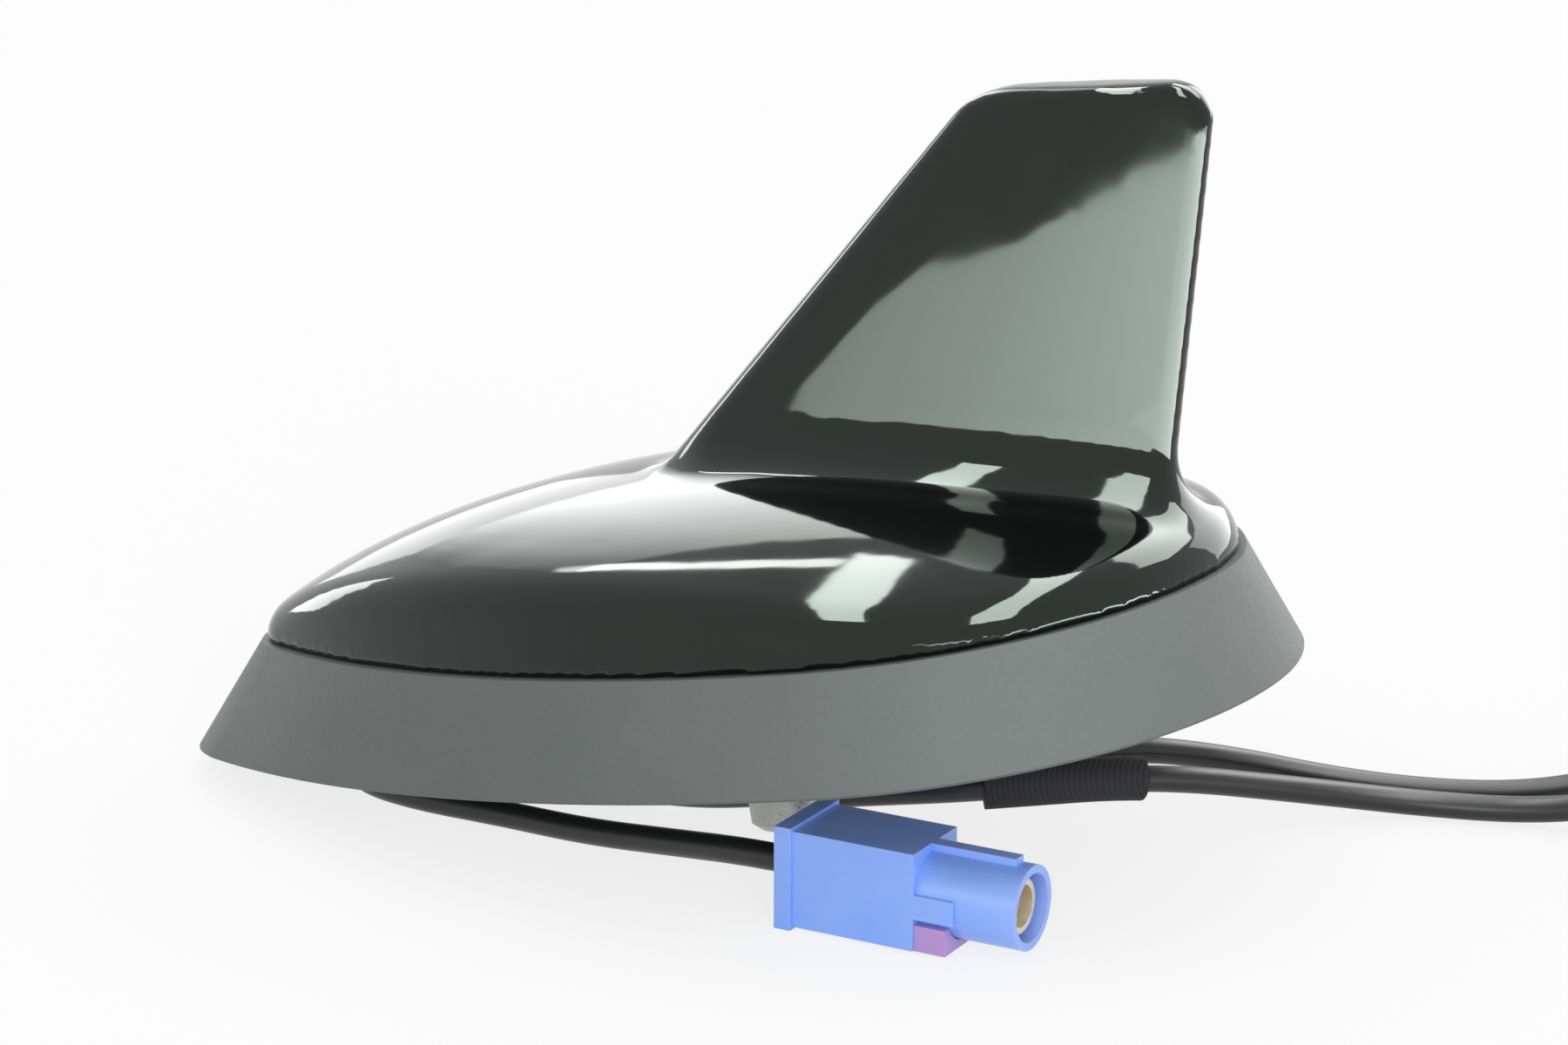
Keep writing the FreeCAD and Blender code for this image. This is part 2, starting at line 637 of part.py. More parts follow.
# Ceramic patch with its silvered face, and the shielding can, all on the main board.
patch = block("gps_patch", "Sizes.patch_side", "Sizes.patch_side", "Sizes.patch_thick",
              "Sizes.patch_x", "0", "Sizes.board_top")
node(patch, "gps_patch")
face_level = "Sizes.board_top + Sizes.patch_thick"
electrode = block("gps_electrode", "Sizes.electrode_side", "Sizes.electrode_side", "Sizes.electrode_thick",
                  "Sizes.patch_x", "0", face_level)
node(electrode, "gps_electrode")
can_outer = block("can_outer", "Sizes.can_length", "Sizes.can_width", "Sizes.can_height",
                  "Sizes.can_x", "0", "Sizes.board_top")
less_walls = " - 2 * Sizes.can_wall"
can_inner = block("can_inner", "Sizes.can_length" + less_walls, "Sizes.can_width" + less_walls,
                  "Sizes.can_height - Sizes.can_wall", "Sizes.can_x", "0", "Sizes.board_top")
node(combine("Cut", "shield_can", can_outer, can_inner), "shield_can")

# Fin board standing on the main board, with the printed radiator on its side.
fin_board = new_body("fin_board")
fin_board_outline = plane_sketch(fin_board, "fin_board_outline", "XZ_Plane")
ease = size("fin_wall") + size("fin_board_ease")
tall = size("fin_cavity_top") - ease
low_front = size("can_x") + size("can_length") / 2 + ease
low_rear = size("fin_low_tail") - 2 * ease
high_front = ease - size("fin_hollow_nose")
high_rear = size("fin_hollow_tail") - ease
lean = (size("fin_low_nose") - size("fin_high_nose")) / (size("fin_high_level") - size("skirt_height"))
knee = tall - (high_front - low_front) / lean
foot_level = size("board_top")
corners = [(low_front, foot_level), (low_rear, foot_level), (high_rear, tall), (high_front, tall)]
corners.append((low_front, knee))
for k in range(5):
    start, end = corners[k], corners[(k + 1) % 5]
    fin_board_outline.addGeometry(Part.LineSegment(Vector(*start, 0), Vector(*end, 0)), False)
fin_board_pad = feature(fin_board, "Pad", "fin_board_pad", fin_board_outline, Length="Sizes.fin_board_thick")
fin_board_pad.Midplane = True
node(fin_board, "fin_board")

radiator = new_body("fin_radiator")
radiator_outline = plane_sketch(radiator, "radiator_outline", "XZ_Plane", "Sizes.fin_board_thick / 2")
rect(radiator_outline, "Sizes.radiator_front", "Sizes.radiator_foot",
     "Sizes.radiator_front + Sizes.radiator_width", "Sizes.radiator_foot + Sizes.radiator_height")
feature(radiator, "Pad", "radiator_pad", radiator_outline, Length="Sizes.radiator_thick")
# The foil is a meander: slots come in from the front and from the rear by turns.
left, right = "Sizes.radiator_front", "Sizes.radiator_front + Sizes.radiator_width"
trace = "Sizes.radiator_trace"
slot_ends = {
    "front_slot": (left + " - " + trace, right + " - " + trace),
    "rear_slot": (left + " + " + trace, right + " + " + trace),
}
for k, (name, (start, end)) in enumerate(slot_ends.items()):
    slots = plane_sketch(radiator, name, "XZ_Plane", "Sizes.fin_board_thick / 2")
    for step in range(4):
        foot = "Sizes.radiator_foot + (%d + 0.5) * Sizes.radiator_pitch" % (2 * step + k + 1)
        rect(slots, start, foot, end, "%s + Sizes.radiator_gap" % foot)
    cut = feature(radiator, "Pocket", name + "s", slots, Length="Sizes.radiator_thick")
    cut.Reversed = True
node(radiator, "fin_radiator")

# Leads: three coax tails through a rubber grommet in the stud's bore, out of its slots.
TAILS = {"gps": (-2.0, 0.0), "phone": (1.6, -1.6), "radio": (1.6, 1.6)}
low = "Sizes.plate_top - Sizes.grommet_length"
length = "Sizes.grommet_length"
grommet_body = cylinder("grommet_body", "Sizes.stud_bore - Sizes.screw_ease", length, 0, 0, low)
grommet_holes = [cylinder("grommet_hole_" + key, "Sizes.lead_diameter + Sizes.screw_ease", length, x, y, low)
                 for key, (x, y) in TAILS.items()]
grommet = combine("Cut", "lead_grommet", grommet_body, combine("MultiFuse", "grommet_holes", *grommet_holes))
node(grommet, "lead_grommet")


def tube(path, diameter):
    """Sweep a round section along a path."""
    start = path.Edges[0].firstVertex(True).Point
    ahead = path.Edges[0].tangentAt(path.Edges[0].FirstParameter)
    circle = Part.Wire(Part.Circle(start, ahead, diameter / 2).toShape())
    return path.makePipeShell([circle], True, False)


def solid(name, shape):
    """Keep a shape made by Part's own functions."""
    made = doc.addObject("Part::Feature", name)
    made.Shape = shape
    made.Placement = Placement()
    return made


def exit_point(key):
    """Give the place where a lead leaves the stud, and its side."""
    x, y = TAILS[key]
    side = math.copysign(1, x)
    return Vector(side * size("stud_diameter") / 2, y, size("lead_exit_level")), side


tails = []
for key, (x, y) in TAILS.items():
    out, side = exit_point(key)
    bend = size("lead_bend")
    above = Vector(x, y, out.z + bend)
    middle = Vector(x + side * bend * (1 - math.sqrt(0.5)), y, out.z + bend * (1 - math.sqrt(0.5)))
    beside = Vector(x + side * bend, y, out.z)
    edges = [Part.LineSegment(Vector(x, y, size("board_level")), above), Part.Arc(above, middle, beside),
             Part.LineSegment(beside, out)]
    tails.append(tube(Part.Wire([edge.toShape() for edge in edges]), size("lead_diameter")))
node(solid("lead_tails", Part.makeCompound(tails)), "lead_tails")

# The bench: where the loose leads lie while the antenna leans on stud and nose, as in the photograph.
tilt = math.radians(size("bench_tilt"))
bench_along = Vector(math.cos(tilt), 0, -math.sin(tilt))
bench_up = Vector(math.sin(tilt), 0, math.cos(tilt))
bench_level = bench_up.dot(Vector(-size("stud_nose_diameter") / 2, 0, -size("stud_length")))


def bench(along, across, over):
    """Turn a place on the bench into the part's frame."""
    return bench_along * along + Vector(0, across, 0) + bench_up * (bench_level + over)


# Routes on the bench, from the stud to the plug: along, across and height of the lead's middle.
ROUTES = {
    "gps": [(-15.8, 1.1, 1.5), (-20.8, 4.8, 1.4), (-25.2, 10.2, 1.4), (-30.4, 15.6, 1.4), (-38.2, 17.4, 1.4),
            (-45.7, 14.3, 1.4), (-50.0, 7.5, 1.4), (-49.7, -0.6, 1.4), (-44.7, -7.1, 1.4), (-37.0, -9.8, 1.4),
            (-27.0, -11.0, 1.4), (-15.5, -14.2, 1.9), (-4.0, -18.2, 3.6)],
    "phone": [(19.0, -0.3, 6.4), (26.5, 3.0, 6.9), (33.5, 7.4, 7.0), (40.5, 13.0, 6.0), (47.5, 18.8, 4.2),
              (54.5, 23.7, 2.6), (62.5, 27.2, 1.5), (71.5, 28.8, 1.4), (79.0, 28.8, 2.6)],
    "radio": [(19.5, 4.4, 6.5), (26.5, 10.6, 7.0), (33.5, 18.0, 7.0), (42.0, 24.6, 4.8), (52.0, 28.8, 2.4),
              (61.5, 31.4, 1.4), (71.0, 34.0, 1.4), (79.0, 37.2, 2.6)],
}
PLUGS = {"gps": (10.9, -23.0, -8.4), "phone": (92.0, 27.6, -5.0), "radio": (92.0, 41.0, 8.0)}


def plug_place(key):
    """Place a plug on the bench: its rear face's middle and its heading."""
    along, across, heading = PLUGS[key]
    turn = Rotation(Vector(0, 1, 0), size("bench_tilt")) * Rotation(Vector(0, 0, 1), heading)
    return Placement(bench(along, across, size("plug_height") / 2 + size("plug_collar_step")), turn)


def soft_path(points, diameter, name):
    """Join straight runs by tangent arcs as large as the runs allow."""
    edges = []
    last = points[0]
    radii = []
    for before, here, after in zip(points, points[1:], points[2:]):
        inward = (before - here)
        outward = (after - here)
        reach = 0.45 * min(inward.Length, outward.Length)
        turn = math.pi - inward.getAngle(outward)
        inward.normalize()
        outward.normalize()
        radius = reach / math.tan(turn / 2)
        radii.append(radius / diameter)
        start = here + inward * reach
        end = here + outward * reach
        middle = here + (inward + outward).normalize() * (radius / math.cos(turn / 2) - radius)
        edges.append(Part.LineSegment(last, start).toShape())
        edges.append(Part.Arc(start, middle, end).toShape())
        last = end
    edges.append(Part.LineSegment(last, points[-1]).toShape())
    path = Part.Wire(edges)
    print("%s: length %.1f mm, radii in diameters %s" % (name, path.Length, [round(r, 1) for r in radii]))
    return path


paths = {}
for key, route in ROUTES.items():
    place = plug_place(key)
    straight = size("lead_straight")
    out, side = exit_point(key)
    before = place.multVec(Vector(-size("ferrule_out") - straight, 0, 0))
    end = place.multVec(Vector(-size("ferrule_out"), 0, 0))
    points = [out, out + Vector(side * straight, 0, 0)] + [bench(*point) for point in route] + [before, end]
    paths[key] = soft_path(points, size("lead_diameter"), key)
    lead = tube(paths[key], size("lead_diameter"))
    section = math.pi * size("lead_diameter") ** 2 / 4
    print("%s: volume over section times length %.4f" % (key, lead.Volume / (section * paths[key].Length)))
    node(solid(key + "_lead", lead), key + "_lead")

# Cloth tape wound over the phone lead behind the stud: it covers the first bends of that lead.
wrapped = Part.Wire(paths["phone"].Edges[4:8])
wrap = tube(wrapped, size("sleeve_diameter")).cut(tube(wrapped, size("lead_diameter") + size("screw_ease")))
node(solid("lead_sleeve", wrap), "lead_sleeve")


def turned(name, outer, start, length, hole=None):
    """Make a round piece along +X, with a hole if one is named."""
    body = new_body(name)
    sketch = ring(plane_sketch(body, name + "_section", "YZ_Plane", start), outer)
    if hole:
        ring(sketch, hole)
    feature(body, "Pad", name + "_pad", sketch, Length=length)
    return body


def plug_housing(name):
    """Mould the housing: a box with a collar, and a round keyed nose with a deep mouth."""
    body = new_body(name)
    wide = "Sizes.plug_width / 2"
    tall = "Sizes.plug_height / 2"
    step = "Sizes.plug_collar_step"
    sketch = plane_sketch(body, name + "_box", "YZ_Plane")
    rect(sketch, "-" + wide, "-" + tall, wide, tall)
    feature(body, "Pad", name + "_box_pad", sketch, Length="Sizes.plug_length")
    sketch = plane_sketch(body, name + "_collar", "YZ_Plane")
    collar_wide = "%s + %s" % (wide, step)
    collar_tall = "%s + %s" % (tall, step)
    rect(sketch, "-(%s)" % collar_wide, "-(%s)" % collar_tall, collar_wide, collar_tall)
    feature(body, "Pad", name + "_collar_pad", sketch, Length="Sizes.plug_collar")
    sketch = plane_sketch(body, name + "_nose", "YZ_Plane", "Sizes.plug_length")
    ring(sketch, "Sizes.plug_nose_diameter")
    feature(body, "Pad", name + "_nose_pad", sketch, Length="Sizes.plug_nose_length")
    # Keying: a long rib on top, one low on each side, and a short step on the sides.
    sketch = plane_sketch(body, name + "_top_rib", "YZ_Plane", "Sizes.plug_length")
    half_rib = "Sizes.plug_rib_width / 2"
    rect(sketch, "-" + half_rib, "Sizes.plug_nose_bore / 2 + 0.2", half_rib, tall)
    feature(body, "Pad", name + "_top_rib_pad", sketch, Length="Sizes.plug_rib_length")
    for side, left, right in (("left", "-" + wide, "-Sizes.plug_nose_bore / 2 - 0.1"),
                              ("right", "Sizes.plug_nose_bore / 2 + 0.1", wide)):
        sketch = plane_sketch(body, name + "_step_" + side, "YZ_Plane", "Sizes.plug_length")
        rect(sketch, left, "-Sizes.plug_rib_width", right, "Sizes.plug_rib_width / 2")
        feature(body, "Pad", name + "_step_pad_" + side, sketch, Length="Sizes.plug_step_length")
    sketch = plane_sketch(body, name + "_mouth", "YZ_Plane", "Sizes.plug_length + Sizes.plug_nose_length")
    ring(sketch, "Sizes.plug_nose_bore")
    feature(body, "Pocket", name + "_mouth_cut", sketch, Length="Sizes.plug_nose_depth")
    sketch = ring(plane_sketch(body, name + "_rear", "YZ_Plane"), "Sizes.ferrule_outer + Sizes.screw_ease")
    held = "Sizes.ferrule_length - Sizes.ferrule_out"
    rear = feature(body, "Pocket", name + "_rear_cut", sketch, Length=held)
    rear.Reversed = True
    return body


def plug_lock(name):
    """Make the secondary lock: a slide in front of the box, hollowed for the nose."""
    body = new_body(name)
    wide = "Sizes.plug_width / 2 - Sizes.fit_gap"
    foot = "-Sizes.plug_height / 2"
    sketch = plane_sketch(body, name + "_section", "YZ_Plane", "Sizes.plug_length")
    rect(sketch, "-(%s)" % wide, foot, wide, foot + " + Sizes.lock_height")
    feature(body, "Pad", name + "_pad", sketch, Length="Sizes.lock_reach")
    sketch = ring(plane_sketch(body, name + "_hollow", "YZ_Plane", "Sizes.plug_length + Sizes.lock_reach"),
                  "Sizes.plug_nose_diameter + Sizes.fit_gap")
    feature(body, "Pocket", name + "_hollow_cut", sketch, Length="Sizes.lock_reach")
    return body


floor = "Sizes.plug_length + Sizes.plug_nose_length - Sizes.plug_nose_depth"
for key in PLUGS:
    name = key + "_plug_"
    pieces = [
        plug_housing(name + "housing"),
        plug_lock(name + "lock"),
        turned(name + "sleeve", "Sizes.sleeve_tube_outer", floor, "Sizes.sleeve_tube_length",
               "Sizes.sleeve_tube_bore"),
        turned(name + "insulator", "Sizes.sleeve_tube_bore - Sizes.screw_ease", floor,
               "Sizes.insulator_length", "Sizes.contact_diameter + Sizes.screw_ease"),
        turned(name + "pin", "Sizes.contact_diameter", floor, "Sizes.contact_length"),
        turned(name + "ferrule", "Sizes.ferrule_outer", "-Sizes.ferrule_out", "Sizes.ferrule_length"),
    ]
    for piece in pieces:
        piece.Placement = plug_place(key)
        node(piece, piece.Label)

doc.recompute()
faults = [thing.Label for thing in doc.Objects if set(thing.State) & {"Invalid", "Error"}]
faults += [thing.Label for thing in NODES if thing.Shape.isNull() or not thing.Shape.isValid()]
if faults:
    raise RuntimeError("failed objects: " + ", ".join(faults))
os.makedirs("parts", exist_ok=True)
for thing in NODES:
    thing.Shape.exportStep("parts/%s.step" % thing.Label)
print("%d sub-parts written" % len(NODES))
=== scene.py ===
import math

import bpy
from mathutils import Matrix, Vector


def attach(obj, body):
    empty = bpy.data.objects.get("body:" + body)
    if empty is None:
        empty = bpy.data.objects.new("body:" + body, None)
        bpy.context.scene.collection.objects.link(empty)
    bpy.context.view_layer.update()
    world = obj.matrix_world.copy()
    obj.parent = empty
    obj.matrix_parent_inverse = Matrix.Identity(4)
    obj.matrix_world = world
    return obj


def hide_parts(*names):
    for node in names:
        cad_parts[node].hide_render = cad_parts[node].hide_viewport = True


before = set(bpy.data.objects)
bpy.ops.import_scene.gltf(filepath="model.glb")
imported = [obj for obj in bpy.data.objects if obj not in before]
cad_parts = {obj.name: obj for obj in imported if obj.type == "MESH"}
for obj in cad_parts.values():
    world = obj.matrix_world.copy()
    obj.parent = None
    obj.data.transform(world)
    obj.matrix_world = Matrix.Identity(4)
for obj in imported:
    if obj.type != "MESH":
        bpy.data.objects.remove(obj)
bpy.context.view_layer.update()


# Base plate with its stud: one zinc die casting that the roof clamps on.
# It comes from the die with a fine grey skin, and is left bare.
def linear(hex_colour):
    """Turn an sRGB hex colour into linear RGBA."""
    values = [int(hex_colour[k:k + 2], 16) / 255 for k in (1, 3, 5)]
    return [v / 12.92 if v <= 0.04045 else ((v + 0.055) / 1.055) ** 2.4 for v in values] + [1.0]


def add(tree, kind, inputs=None, **settings):
    """Add a node with its settings; an input given as a socket is linked."""
    made = tree.nodes.new("ShaderNode" + kind)
    for key, value in settings.items():
        setattr(made, key, value)
    for key, value in (inputs or {}).items():
        if isinstance(value, bpy.types.NodeSocket):
            tree.links.new(value, made.inputs[key])
        else:
            made.inputs[key].default_value = value
    return made


def material(name, **sockets):
    """Start a material; the values that are alike all over go on the shader's own sockets."""
    made = bpy.data.materials.new(name)
    made.use_nodes = True
    shader = made.node_tree.nodes["Principled BSDF"]
    for key, value in sockets.items():
        shader.inputs[key.replace("_", " ")].default_value = value
    return made, made.node_tree, shader


def grain(tree, shader, size_mm, depth_mm, detail=3.0):
    """Give a surface its grain as a bump, with the grain's real width and depth."""
    place = add(tree, "TexCoord").outputs["Object"]
    noise = add(tree, "TexNoise", {"Vector": place, "Scale": 1000 / size_mm, "Detail": detail})
    bump = add(tree, "Bump", {"Height": noise.outputs["Fac"], "Distance": depth_mm / 1000, "Strength": 1.0})
    tree.links.new(bump.outputs["Normal"], shader.inputs["Normal"])
    return noise


def spread(tree, noise, low, high, socket):
    """Let a noise vary a shader's number between two values."""
    ramp = add(tree, "MapRange", {"Value": noise.outputs["Fac"], "From Min": 0.3, "From Max": 0.7,
                                  "To Min": low, "To Max": high})
    tree.links.new(ramp.outputs["Result"], socket)


def tint(tree, noise, first, second, socket):
    """Let a noise vary a colour between two."""
    ramp = add(tree, "Mix", {"Factor": noise.outputs["Fac"], "A": linear(first), "B": linear(second)},
               data_type="RGBA")
    tree.links.new([o for o in ramp.outputs if o.type == "RGBA"][0], socket)


def dress(made, *names):
    """Put a material on CAD nodes."""
    for name in names:
        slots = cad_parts[name].data.materials
        slots.clear()
        slots.append(made)


def soften(name, width_mm, angle=35):
    """Break a CAD node's sharp edges with a small moulded round, so that they catch light."""
    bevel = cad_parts[name].modifiers.new("edge_round", "BEVEL")
    bevel.width = width_mm / 1000
    bevel.segments = 3
    bevel.limit_method = "ANGLE"
    bevel.angle_limit = math.radians(angle)
    bevel.harden_normals = True


CASTING_SKIN = 0.35
CASTING_DEPTH = 0.01
CASTING_EDGE = 0.25
die_cast, tree, shader = material("die_cast_zinc", Metallic=1.0)
skin = grain(tree, shader, CASTING_SKIN, CASTING_DEPTH)
tint(tree, skin, "#858886", "#B4B6B3", shader.inputs["Base Color"])
spread(tree, skin, 0.24, 0.4, shader.inputs["Roughness"])
dress(die_cast, "base_plate")
soften("base_plate", CASTING_EDGE)

# Grommet in the stud's bore: a soft black rubber plug that the leads pass through.
# Moulded, matte, with a little bloom.
BLOOM = 0.6
BLOOM_DEPTH = 0.01
plug_rubber, tree, shader = material("moulded_grommet_rubber", Roughness=0.7)
bloom = grain(tree, shader, BLOOM, BLOOM_DEPTH)
tint(tree, bloom, "#151515", "#242424", shader.inputs["Base Color"])
dress(plug_rubber, "lead_grommet")

# Main board and fin board: glass cloth laminate under green solder mask.
# The cloth's weave shows as a fine crossing pattern in the mask.
GLASS_CLOTH = 0.5
ROWS_PER_UNIT = 4
laminate, tree, shader = material("solder_mask_laminate", Roughness=0.35)
place = add(tree, "TexCoord").outputs["Object"]
cloth = add(tree, "TexBrick", {"Vector": place, "Scale": 1000 / GLASS_CLOTH / ROWS_PER_UNIT,
                               "Color1": linear("#0E5A34"), "Color2": linear("#0B4F2D"),
                               "Mortar": linear("#093F25"), "Mortar Size": 0.02})
tree.links.new(cloth.outputs["Color"], shader.inputs["Base Color"])
dress(laminate, "main_board", "fin_board")

# Ceramic patch: a fired block whose upper face carries a silvered square.
# The ceramic is chalky, the silver is thick film paste with a dull sheen.
FIRED_GRAIN = 0.4
FIRED_DEPTH = 0.01
PASTE_DEPTH = 0.005
ceramic, tree, shader = material("fired_ceramic", Roughness=0.65)
fired = grain(tree, shader, FIRED_GRAIN, FIRED_DEPTH)
tint(tree, fired, "#CFC4AC", "#DDD4C0", shader.inputs["Base Color"])
dress(ceramic, "gps_patch")
silver, tree, shader = material("fired_silver_paste", Metallic=1.0)
paste = grain(tree, shader, FIRED_GRAIN, PASTE_DEPTH)
tint(tree, paste, "#D8D8D4", "#E6E6E2", shader.inputs["Base Color"])
spread(tree, paste, 0.32, 0.48, shader.inputs["Roughness"])
dress(silver, "gps_electrode")

# Shielding can: thin tinned sheet folded over the receiver.
# Tin plate shows a faint spangle.
SPANGLE = 3.0
SPANGLE_DEPTH = 0.004
FOLD_EDGE = 0.3
tinplate, tree, shader = material("tinned_sheet", Metallic=1.0)
spangle = grain(tree, shader, SPANGLE, SPANGLE_DEPTH)
tint(tree, spangle, "#B9BBBB", "#CDCFCF", shader.inputs["Base Color"])
spread(tree, spangle, 0.22, 0.36, shader.inputs["Roughness"])
dress(tinplate, "shield_can")
soften("shield_can", FOLD_EDGE)

# Radiator printed on the fin board: etched copper foil under clear lacquer.
# The foil keeps faint rolling streaks.
FOIL_STREAK = 0.8
FOIL_DEPTH = 0.002
copper, tree, shader = material("etched_copper_foil", Metallic=1.0)
streaks = grain(tree, shader, FOIL_STREAK, FOIL_DEPTH)
tint(tree, streaks, "#B87346", "#CC8A5C", shader.inputs["Base Color"])
spread(tree, streaks, 0.28, 0.4, shader.inputs["Roughness"])
dress(copper, "fin_radiator")

# Screws for the board and the radome: zinc plated steel, turned and rolled.
# The plating is bright with a blue-grey cast.
PLATING = 0.5
PLATING_DEPTH = 0.003
zinc, tree, shader = material("zinc_plated_steel", Metallic=1.0)
plating = grain(tree, shader, PLATING, PLATING_DEPTH)
tint(tree, plating, "#9A9FA4", "#B4B8BC", shader.inputs["Base Color"])
spread(tree, plating, 0.25, 0.4, shader.inputs["Roughness"])
dress(zinc, "board_screws", "radome_screws")

# Skirt between radome and roof: moulded soft rubber, charcoal and matte.
# The mould is spark eroded, so the skin has a fine even grain and a broad dull sheen.
SKIRT_GRAIN = 0.45
SKIRT_DEPTH = 0.02
SKIRT_CLOUD = 14.0
skirt_rubber, tree, shader = material("moulded_skirt_rubber")
skin = grain(tree, shader, SKIRT_GRAIN, SKIRT_DEPTH)
place = add(tree, "TexCoord").outputs["Object"]
cloud = add(tree, "TexNoise", {"Vector": place, "Scale": 1000 / SKIRT_CLOUD, "Detail": 2.0})
tint(tree, cloud, "#4D5451", "#595F5D", shader.inputs["Base Color"])
spread(tree, skin, 0.55, 0.72, shader.inputs["Roughness"])
dress(skirt_rubber, "roof_gasket")

# Radome: the hood and its fin in one moulding of gloss black plastic.
# The polished mould leaves a mirror skin with only a faint long wave in it.
# Two modifiers even out the solid's facets, which a mirror would show.
SKIN_WAVE = 9.0
WAVE_DEPTH = 0.004
SKIN_STEP = 0.55
POLISH_ROUNDS = 12
gloss_black, tree, shader = material("polished_black_abs", IOR=1.45, Specular_Tint=linear("#EFFFF6"))
wave = grain(tree, shader, SKIN_WAVE, WAVE_DEPTH, detail=1.0)
tint(tree, wave, "#060907", "#090C0A", shader.inputs["Base Color"])
spread(tree, wave, 0.045, 0.075, shader.inputs["Roughness"])
dress(gloss_black, "radome")
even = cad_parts["radome"].modifiers.new("even_skin", "REMESH")
even.mode = "VOXEL"
even.voxel_size = SKIN_STEP / 1000
even.use_smooth_shade = True
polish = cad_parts["radome"].modifiers.new("polish", "SMOOTH")
polish.factor = 0.5
polish.iterations = POLISH_ROUNDS

# Leads: coax with a black flexible jacket, from the slots of the stud to the plugs.
# They lie on the bench that the antenna leans on; the routes are in millimetres on that bench.
LEAD_DIAMETER = 2.8
JACKET_GRAIN = 0.7
JACKET_DEPTH = 0.006
BENCH_TILT = math.radians(10)
BENCH_LEVEL = -13.885
bench_along = Vector((math.cos(BENCH_TILT), 0, -math.sin(BENCH_TILT)))
bench_up = Vector((math.sin(BENCH_TILT), 0, math.cos(BENCH_TILT)))


def bench(along, across, over):
    """Turn a place on the bench into the part's frame, in metres."""
    return (bench_along * along + Vector((0, across, 0)) + bench_up * (BENCH_LEVEL + over)) / 1000


EXITS = {"gps": (-5.5, 0.0, -10.2), "phone": (5.5, -1.6, -10.2), "radio": (5.5, 1.6, -10.2)}
ROUTES = {
    "gps": [(-15.8, 1.1, 1.5), (-20.8, 4.8, 1.4), (-25.2, 10.2, 1.4), (-30.4, 15.6, 1.4), (-38.2, 17.4, 1.4),
            (-45.7, 14.3, 1.4), (-50.0, 7.5, 1.4), (-49.7, -0.6, 1.4), (-44.7, -7.1, 1.4), (-37.0, -9.8, 1.4),
            (-27.0, -11.0, 1.4), (-15.5, -14.2, 1.9), (-4.0, -18.2, 3.6)],
    "phone": [(19.0, -0.3, 6.4), (26.5, 3.0, 6.9), (33.5, 7.4, 7.0), (40.5, 13.0, 6.0), (47.5, 18.8, 4.2),
              (54.5, 23.7, 2.6), (62.5, 27.2, 1.5), (71.5, 28.8, 1.4), (79.0, 28.8, 2.6)],
    "radio": [(19.5, 4.4, 6.5), (26.5, 10.6, 7.0), (33.5, 18.0, 7.0), (42.0, 24.6, 4.8), (52.0, 28.8, 2.4),
              (61.5, 31.4, 1.4), (71.0, 34.0, 1.4), (79.0, 37.2, 2.6)],
}
PLUGS = {"gps": (10.9, -23.0, -8.4), "phone": (92.0, 27.6, -5.0), "radio": (92.0, 41.0, 8.0)}
PLUG_AXIS = 5.25
FERRULE_OUT = 1.2
STRAIGHT = 4.5

jacket, tree, shader = material("extruded_coax_jacket", Roughness=0.38)
drawn = grain(tree, shader, JACKET_GRAIN, JACKET_DEPTH)
tint(tree, drawn, "#101112", "#191A1B", shader.inputs["Base Color"])
dress(jacket, "lead_tails")


def route_points(key):
    """List a lead's control points: straight out of the stud, along the bench, straight into the plug."""
    exit_at = Vector(EXITS[key])
    ahead = Vector((math.copysign(STRAIGHT, exit_at.x), 0, 0))
    along, across, heading = PLUGS[key]
    turn = math.radians(heading)
    ends = [bench(along - back * math.cos(turn), across - back * math.sin(turn), PLUG_AXIS)
            for back in (FERRULE_OUT + STRAIGHT, FERRULE_OUT)]
    return [exit_at / 1000, (exit_at + ahead) / 1000] + [bench(*point) for point in ROUTES[key]] + ends


def smooth_line(name, points):
    """Make one open spline that is drawn by its control points."""
    curve = bpy.data.curves.new(name, "CURVE")
    curve.dimensions = "3D"
    spline = curve.splines.new("NURBS")
    spline.points.add(len(points) - 1)
    for control, point in zip(spline.points, points):
        control.co = (*point, 1.0)
    spline.order_u = 3
    spline.use_endpoint_u = True
    curve.resolution_u = 16
    line = bpy.data.objects.new(name, curve)
    bpy.context.scene.collection.objects.link(line)
    return line


PLUG_PIECES = ("housing", "lock", "sleeve", "insulator", "pin", "ferrule")
for key in ROUTES:
    lead = smooth_line(key + "_coax", route_points(key))
    lead.data.bevel_depth = LEAD_DIAMETER / 2000
    lead.data.bevel_resolution = 8
    lead.data.use_fill_caps = True
    lead.data.materials.append(jacket)
    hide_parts(key + "_lead")
    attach(lead, "root")
    on_lead = [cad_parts["%s_plug_%s" % (key, piece)] for piece in PLUG_PIECES]
    if key == "phone":
        on_lead.append(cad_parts["lead_sleeve"])

# Cloth tape wound round one lead behind the stud: woven fleece with a dull face.
# The weave is drawn at its true spacing of threads; a wave texture of scale 1 repeats every 0.314.
THREADS = 0.5
THREAD_DEPTH = 0.03
WAVE_TURN = 0.314
tape, tree, shader = material("woven_cloth_tape", Roughness=0.85)
place = add(tree, "TexCoord").outputs["Object"]
weave = add(tree, "TexWave", {"Vector": place, "Scale": 1000 / THREADS * WAVE_TURN, "Distortion": 1.0})
bump = add(tree, "Bump", {"Height": weave.outputs["Fac"], "Distance": THREAD_DEPTH / 1000, "Strength": 1.0})
tree.links.new(bump.outputs["Normal"], shader.inputs["Normal"])
tint(tree, weave, "#141416", "#222326", shader.inputs["Base Color"])
dress(tape, "lead_sleeve")

